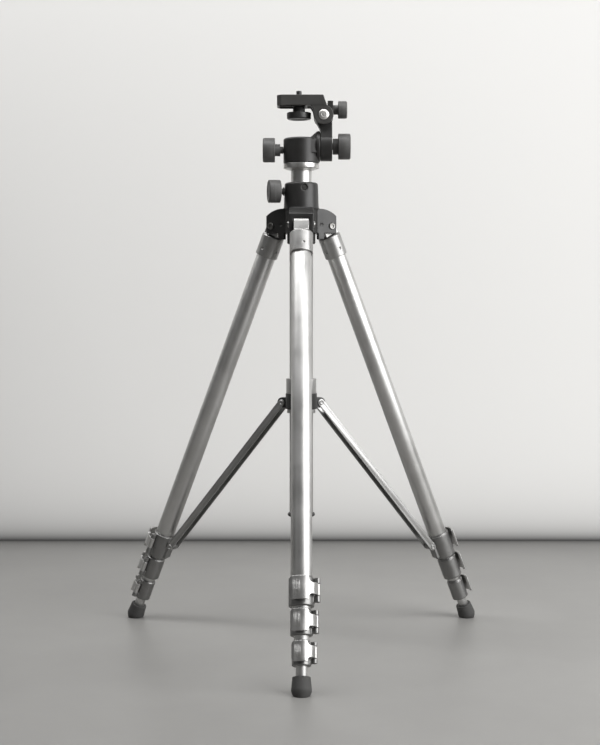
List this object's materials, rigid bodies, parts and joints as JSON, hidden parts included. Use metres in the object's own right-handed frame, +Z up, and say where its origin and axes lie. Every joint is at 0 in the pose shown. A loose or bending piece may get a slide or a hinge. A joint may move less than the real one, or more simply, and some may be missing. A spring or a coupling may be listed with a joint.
{
  "type": "camera tripod",
  "caption": "Folding aluminium camera tripod with telescoping flip-lock legs, mid-level braces, a sliding centre column and a small pan, tilt and side-tilt head with a bare camera platform.",
  "frame": {"origin": "on the floor under the middle of the box around the tripod; the centre column stands 60 mm behind it (+Y)", "axes": "+Z up along the centre column; the front leg points along -Y; the tilt and side knobs are on the +X side"},
  "size_m": [0.4324, 0.3777, 0.6373],
  "materials": {
    "black_casting": "semi-matte black enamel on cast aluminium alloy",
    "black_plastic": "satin black moulding",
    "white_plastic": "plain moulding",
    "steel": "nickel plated, turned",
    "tube_aluminium": "satin anodised",
    "leg_casting": "satin cast",
    "grey_plastic": "satin moulding",
    "lever_grey": "satin moulding with grip ribs",
    "rubber": "matte moulded rubber"
  },
  "bodies": {
    "crown": {"crown": "black_casting", "leg_pivot_bolts": "steel", "column_bush": "white_plastic", "collar_set_screw": "steel", "crown_nut": "black_plastic", "guide_tube": "tube_aluminium", "guide_tube_end": "black_plastic"},
    "column": {"column_tube": "tube_aluminium", "head_stud": "steel", "pan_base": "tube_aluminium"},
    "column_knob": {"column_lock_knob": "black_plastic"},
    "brace_collar": {"brace_sleeve": "grey_plastic", "brace_lug_ring": "black_casting"},
    "pan": {"pan_housing": "black_casting"},
    "pan_knob": {"pan_lock_knob": "black_plastic"},
    "tilt": {"tilt_arm": "black_casting"},
    "tilt_knob": {"tilt_lock_knob": "black_plastic"},
    "plate": {"platform": "black_casting", "side_hinge_pin": "steel"},
    "side_knob": {"side_lock_knob": "black_plastic"},
    "camera_knob": {"camera_screw": "black_plastic"},
    "front_leg": {"front_leg_socket": "leg_casting", "front_upper_tube": "tube_aluminium", "front_lock_1_collar": "grey_plastic"},
    "front_lever_1": {"front_lock_1_lever": "lever_grey"},
    "front_section_2": {"front_second_tube": "tube_aluminium", "front_lock_2_collar": "grey_plastic"},
    "front_lever_2": {"front_lock_2_lever": "lever_grey"},
    "front_section_3": {"front_third_tube": "tube_aluminium", "front_lock_3_collar": "grey_plastic"},
    "front_lever_3": {"front_lock_3_lever": "lever_grey"},
    "front_section_4": {"front_lowest_tube": "tube_aluminium", "front_foot": "rubber"},
    "front_strut": {"front_strut": "tube_aluminium"},
    "right_leg": {"right_leg_socket": "leg_casting", "right_upper_tube": "tube_aluminium", "right_lock_1_collar": "grey_plastic"},
    "right_lever_1": {"right_lock_1_lever": "lever_grey"},
    "right_section_2": {"right_second_tube": "tube_aluminium", "right_lock_2_collar": "grey_plastic"},
    "right_lever_2": {"right_lock_2_lever": "lever_grey"},
    "right_section_3": {"right_third_tube": "tube_aluminium", "right_lock_3_collar": "grey_plastic"},
    "right_lever_3": {"right_lock_3_lever": "lever_grey"},
    "right_section_4": {"right_lowest_tube": "tube_aluminium", "right_foot": "rubber"},
    "right_strut": {"right_strut": "tube_aluminium"},
    "left_leg": {"left_leg_socket": "leg_casting", "left_upper_tube": "tube_aluminium", "left_lock_1_collar": "grey_plastic"},
    "left_lever_1": {"left_lock_1_lever": "lever_grey"},
    "left_section_2": {"left_second_tube": "tube_aluminium", "left_lock_2_collar": "grey_plastic"},
    "left_lever_2": {"left_lock_2_lever": "lever_grey"},
    "left_section_3": {"left_third_tube": "tube_aluminium", "left_lock_3_collar": "grey_plastic"},
    "left_lever_3": {"left_lock_3_lever": "lever_grey"},
    "left_section_4": {"left_lowest_tube": "tube_aluminium", "left_foot": "rubber"},
    "left_strut": {"left_strut": "tube_aluminium"}
  },
  "joints": [
    {"name": "column_lift", "type": "slide", "parent": "crown", "child": "column", "axis": [0, 0, 1], "range_m": [-0.0133, 0.25]},
    {"name": "column_knob_turn", "type": "hinge", "parent": "crown", "child": "column_knob", "pos_m": [-0.0197, 0.05653, 0.52045], "axis": [-0.9848, -0.1736, 0], "range_deg": [0, 360]},
    {"name": "front_leg_fold", "type": "hinge", "parent": "crown", "child": "front_leg", "pos_m": [0, 0.027, 0.48065], "axis": [1, 0, 0], "range_deg": [0, 19.3]},
    {"name": "right_leg_fold", "type": "hinge", "parent": "crown", "child": "right_leg", "pos_m": [0.02858, 0.0765, 0.48065], "axis": [-0.5, 0.866, 0], "range_deg": [0, 19.3]},
    {"name": "left_leg_fold", "type": "hinge", "parent": "crown", "child": "left_leg", "pos_m": [-0.02858, 0.0765, 0.48065], "axis": [-0.5, -0.866, 0], "range_deg": [0, 19.3]},
    {"name": "brace_slide", "type": "slide", "parent": "crown", "child": "brace_collar", "axis": [0, 0, 1], "range_m": [0, 0.0313]},
    {"name": "front_strut_swing", "type": "hinge", "parent": "front_leg", "child": "front_strut", "pos_m": [0, -0.12201, 0.09294], "axis": [1, 0, 0], "range_deg": [0, 16.55]},
    {"name": "front_lever_1_open", "type": "hinge", "parent": "front_leg", "child": "front_lever_1", "pos_m": [0.01628, -0.14259, 0.09789], "axis": [0, 0.3955, 0.9184], "range_deg": [0, 110]},
    {"name": "front_section_2_slide", "type": "slide", "parent": "front_leg", "child": "front_section_2", "axis": [0, -0.3955, -0.9184], "range_m": [0, 0.3]},
    {"name": "front_lever_2_open", "type": "hinge", "parent": "front_section_2", "child": "front_lever_2", "pos_m": [0.01459, -0.15487, 0.06822], "axis": [0, 0.3955, 0.9184], "range_deg": [0, 110]},
    {"name": "front_section_3_slide", "type": "slide", "parent": "front_section_2", "child": "front_section_3", "axis": [0, -0.3955, -0.9184], "range_m": [0, 0.3]},
    {"name": "front_lever_3_open", "type": "hinge", "parent": "front_section_3", "child": "front_lever_3", "pos_m": [0.01294, -0.16663, 0.03981], "axis": [0, 0.3955, 0.9184], "range_deg": [0, 110]},
    {"name": "front_section_4_slide", "type": "slide", "parent": "front_section_3", "child": "front_section_4", "axis": [0, -0.3955, -0.9184], "range_m": [0, 0.3]},
    {"name": "right_strut_swing", "type": "hinge", "parent": "right_leg", "child": "right_strut", "pos_m": [0.15762, 0.151, 0.09294], "axis": [-0.5, 0.866, 0], "range_deg": [0, 16.55]},
    {"name": "right_lever_1_open", "type": "hinge", "parent": "right_leg", "child": "right_lever_1", "pos_m": [0.16731, 0.17539, 0.09789], "axis": [-0.3426, -0.1978, 0.9184], "range_deg": [0, 110]},
    {"name": "right_section_2_slide", "type": "slide", "parent": "right_leg", "child": "right_section_2", "axis": [0.3426, 0.1978, -0.9184], "range_m": [0, 0.3]},
    {"name": "right_lever_2_open", "type": "hinge", "parent": "right_section_2", "child": "right_lever_2", "pos_m": [0.17879, 0.18007, 0.06822], "axis": [-0.3426, -0.1978, 0.9184], "range_deg": [0, 110]},
    {"name": "right_section_3_slide", "type": "slide", "parent": "right_section_2", "child": "right_section_3", "axis": [0.3426, 0.1978, -0.9184], "range_m": [0, 0.3]},
    {"name": "right_lever_3_open", "type": "hinge", "parent": "right_section_3", "child": "right_lever_3", "pos_m": [0.1898, 0.18452, 0.03981], "axis": [-0.3426, -0.1978, 0.9184], "range_deg": [0, 110]},
    {"name": "right_section_4_slide", "type": "slide", "parent": "right_section_3", "child": "right_section_4", "axis": [0.3426, 0.1978, -0.9184], "range_m": [0, 0.3]},
    {"name": "left_strut_swing", "type": "hinge", "parent": "left_leg", "child": "left_strut", "pos_m": [-0.15762, 0.151, 0.09294], "axis": [-0.5, -0.866, 0], "range_deg": [0, 16.55]},
    {"name": "left_lever_1_open", "type": "hinge", "parent": "left_leg", "child": "left_lever_1", "pos_m": [-0.18359, 0.1472, 0.09789], "axis": [0.3426, -0.1978, 0.9184], "range_deg": [0, 110]},
    {"name": "left_section_2_slide", "type": "slide", "parent": "left_leg", "child": "left_section_2", "axis": [-0.3426, 0.1978, -0.9184], "range_m": [0, 0.3]},
    {"name": "left_lever_2_open", "type": "hinge", "parent": "left_section_2", "child": "left_lever_2", "pos_m": [-0.19338, 0.1548, 0.06822], "axis": [0.3426, -0.1978, 0.9184], "range_deg": [0, 110]},
    {"name": "left_section_3_slide", "type": "slide", "parent": "left_section_2", "child": "left_section_3", "axis": [-0.3426, 0.1978, -0.9184], "range_m": [0, 0.3]},
    {"name": "left_lever_3_open", "type": "hinge", "parent": "left_section_3", "child": "left_lever_3", "pos_m": [-0.20274, 0.16211, 0.03981], "axis": [0.3426, -0.1978, 0.9184], "range_deg": [0, 110]},
    {"name": "left_section_4_slide", "type": "slide", "parent": "left_section_3", "child": "left_section_4", "axis": [-0.3426, 0.1978, -0.9184], "range_m": [0, 0.3]},
    {"name": "pan_turn", "type": "hinge", "parent": "column", "child": "pan", "pos_m": [0, 0.06, 0.55295], "axis": [0, 0, 1], "continuous": true},
    {"name": "pan_knob_turn", "type": "hinge", "parent": "pan", "child": "pan_knob", "pos_m": [-0.02, 0.06, 0.56875], "axis": [-1, 0, 0], "range_deg": [0, 360]},
    {"name": "tilt_turn", "type": "hinge", "parent": "pan", "child": "tilt", "pos_m": [0.0259, 0.06, 0.57285], "axis": [1, 0, 0], "range_deg": [-30, 90]},
    {"name": "tilt_knob_turn", "type": "hinge", "parent": "pan", "child": "tilt_knob", "pos_m": [0.04, 0.06, 0.57285], "axis": [1, 0, 0], "range_deg": [0, 360]},
    {"name": "side_flip", "type": "hinge", "parent": "tilt", "child": "plate", "pos_m": [0.0259, 0.06, 0.60825], "axis": [0, 1, 0], "range_deg": [0, 90]},
    {"name": "side_knob_turn", "type": "hinge", "parent": "tilt", "child": "side_knob", "pos_m": [0.04, 0.06, 0.61555], "axis": [1, 0, 0], "range_deg": [0, 360]},
    {"name": "camera_screw_turn", "type": "hinge", "parent": "plate", "child": "camera_knob", "pos_m": [-0.0027, 0.06, 0.61915], "axis": [0, 0, -1], "continuous": true}
  ],
  "couplings": [
    {"joint": "right_leg_fold", "follows": "front_leg_fold", "ratio": 1},
    {"joint": "left_leg_fold", "follows": "front_leg_fold", "ratio": 1},
    {"joint": "brace_slide", "follows": "front_leg_fold", "m_per_rad": 0.092136},
    {"joint": "front_strut_swing", "follows": "front_leg_fold", "ratio": 0.85501},
    {"joint": "right_strut_swing", "follows": "front_leg_fold", "ratio": 0.85501},
    {"joint": "left_strut_swing", "follows": "front_leg_fold", "ratio": 0.85501}
  ]
}
